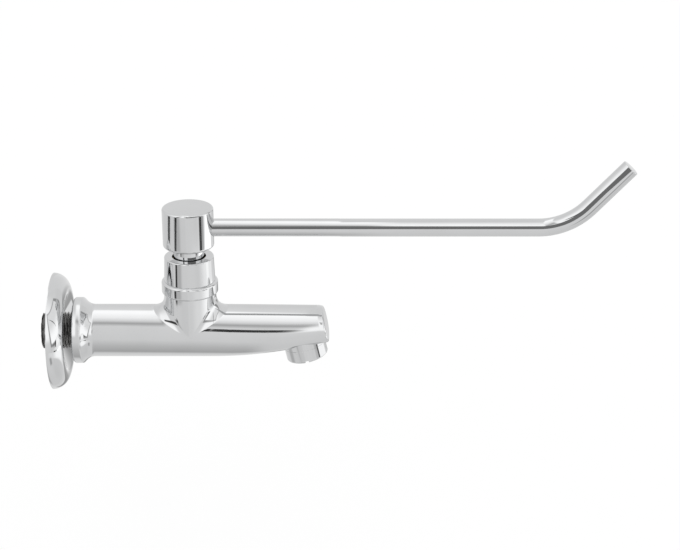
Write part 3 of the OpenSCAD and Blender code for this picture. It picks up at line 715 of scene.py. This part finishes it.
def darken(tent, share, where):
    """Takes a share of the light away."""
    return tent * (1.0 - share * where)


def brighten(tent, share, where):
    """Adds a share to the light."""
    return tent * (1.0 + share * where)


# The cloth of the tent, from the floor behind, under the tap and up in front, to over and behind it.
slant = dx.node("ShaderNodeClamp", {}, {0: dx, 1: -0.13, 2: 0.12})
wall = (over + slant * 130 + (180 + 6.5)) / 360
cloth = [(-179, 0.9), (-125, 1.0), (-108, 0.95), (-94, 0.58), (-60, 0.74), (-28, 0.97), (30, 1.03)]
cloth += [(44, 0.57), (55, 1.05), (70, 1.4), (95, 1.62), (107, 1.62), (116, 1.1), (160, 0.95), (179, 0.9)]
stops = [((angle + 180) / 360, level / 2) for angle, level in cloth]
levels = wall.node("ShaderNodeValToRGB", {"stops": stops}, {0: wall})
tent = toward(levels * 2, 0.96, dx.ramp(-0.02, 0.04) * band(over, -75, 45, 20) * 0.85)

# To both sides of it hang sheets for the lever, white in front and grey overhead.
beside = dx.ramp(0.012, 0.036) + dx.ramp(-0.2, -0.165, 1.0, 0.0)
tent = toward(tent, over.ramp(48, 106, 1.52, 0.98), beside * over.ramp(-5, 10))

# Far out to the sides the tent is even, and brighter low on the right.
aside = dx.node("ShaderNodeMath", {"operation": "ABSOLUTE"}, {0: dx}).ramp(0.35, 0.7)
tent = toward(tent, rise.ramp(-90, -20, 0.75, 0.95) + rise.ramp(30, 70, 0.0, 0.1), aside)
low_right = round_z.ramp(42, 82) * (1.0 - round_z.ramp(118, 136)) * band(rise, -22, 6, 6)
tent = brighten(tent, 0.38, low_right)

# Two large white soft boxes in dark frames, to the right and to the left of the tap.
lean = round_z + rise * 0.4
right_frame = band(lean, 80, 46, 3) * band(rise, 22, 32, 3) * (1.0 - round_z.ramp(118, 124))
right_box = band(lean, 80, 38, 3) * band(rise, 23, 27, 4) * (1.0 - round_z.ramp(104, 108))
tent = darken(tent, 0.55, right_frame)
tent = toward(tent, rise.ramp(2, 30, 1.62, 1.15), right_box)
right_foot = band(rise, -10.5, 3.5, 2)
tent = toward(tent, 1.5, band(round_z, 100, 22, 2) * right_foot)
tent = darken(tent, 0.8, band(round_z, 72.5, 3, 1.5) * right_foot)
tent = darken(tent, 0.25, band(round_z, 64, 6, 8) * right_foot)
lean = round_z - rise * 0.22
left_frame = band(lean, -41, 3.6, 2.5) * band(rise, 16, 26, 8)
left_box = band(lean, -88, 40, 5) * band(rise, 38, 22, 8)
tent = darken(tent, 0.93, left_frame)
tent = toward(tent, round_z.ramp(-112, -50, 1.02, 1.5), left_box * 0.95)

# Behind the tap the tent falls off into grey, low down, which shades the flange.
fall = rise + round_z * 0.71 - 100.8
shade = (round_z - 18 * band(rise, -19.3, 2.3, 1.5)).ramp(136, 140) * fall.ramp(-28, -25)
tent = toward(tent, fall.ramp(-12, 6, 0.42, 1.0), shade)

# A dark bar beside the camera, which the spout mirrors as a line.
bar = band(over + round_z * 2.3, 12.5, 4.8, 1.5) * round_z.ramp(-4.8, -4.3) * (1.0 - round_z.ramp(0, 2.5))
tent = darken(tent, 0.94, bar)

# Tall narrow dark cards and a white one, low round the front, at the height that the hub mirrors.
hub_high = band(rise, -20.5, 0.9, 0.3)
tent = darken(tent, 0.9, band(round_z - rise * 7.5, 64.5, 6, 2) * hub_high)
tent = darken(tent, 0.93, band(round_z - rise * 5.5, 60.3, 4.2, 2) * hub_high)
tent = darken(tent, 0.9, band(round_z, 61, 5, 2) * hub_high)
tent = darken(tent, 0.55, band(round_z, 70, 5, 8) * hub_high)
tent = brighten(tent, 0.5, band(round_z, 104, 16, 3) * band(rise, -20.9, 0.75, 0.25))

# One dark card and a grey one on the left, at the heights of the shroud, the lip and the turret.
shroud_high = band(rise, -18.4, 0.9, 0.3) + band(rise, -22.5, 0.45, 0.15) + band(rise, -29, 2.5, 1)
tent = brighten(tent, 0.17, band(round_z, 95, 3, 9) * band(rise, -18.8, 0.6, 0.2))
tent = darken(tent, 0.92, band(round_z - rise * 0.25, -52.7, 3.6, 2) * shroud_high)
tent = darken(tent, 0.3, band(round_z, -46, 6, 14) * (shroud_high + hub_high))

# Soft shade below for the bent end of the lever and the left of the nozzle, and more light on the right.
tent = darken(tent, 0.45, band(dx, 0.41, 0.05, 0.09) * band(over, -43, 5, 7))
tent = darken(tent, 0.3, band(round_z, -90, 5, 18) * band(rise, -36, 1.5, 2))
tent = brighten(tent, 0.17, round_z.ramp(4, 40) * band(rise, -26.5, 4.5, 1.5))

# Mirrored rays see the tent. All other light is plain white.
glossy = ray.node("ShaderNodeLightPath", {}, {}, pick=3)
level = glossy * (tent * 0.886) + (1.0 - glossy)
tree.links.new(level.out, tree.nodes["Background"].inputs["Color"])

camera = bpy.data.cameras.new("camera")
camera.lens, camera.sensor_width = 94.6, 36
viewer = bpy.data.objects.new("camera", camera)
bpy.context.collection.objects.link(viewer)
viewer.location = (0.1628, -0.9311, 0.4136)
viewer.rotation_euler = (radians(67.81), 0, 0)
bpy.context.scene.camera = viewer
bpy.context.scene.view_settings.view_transform = "Standard"
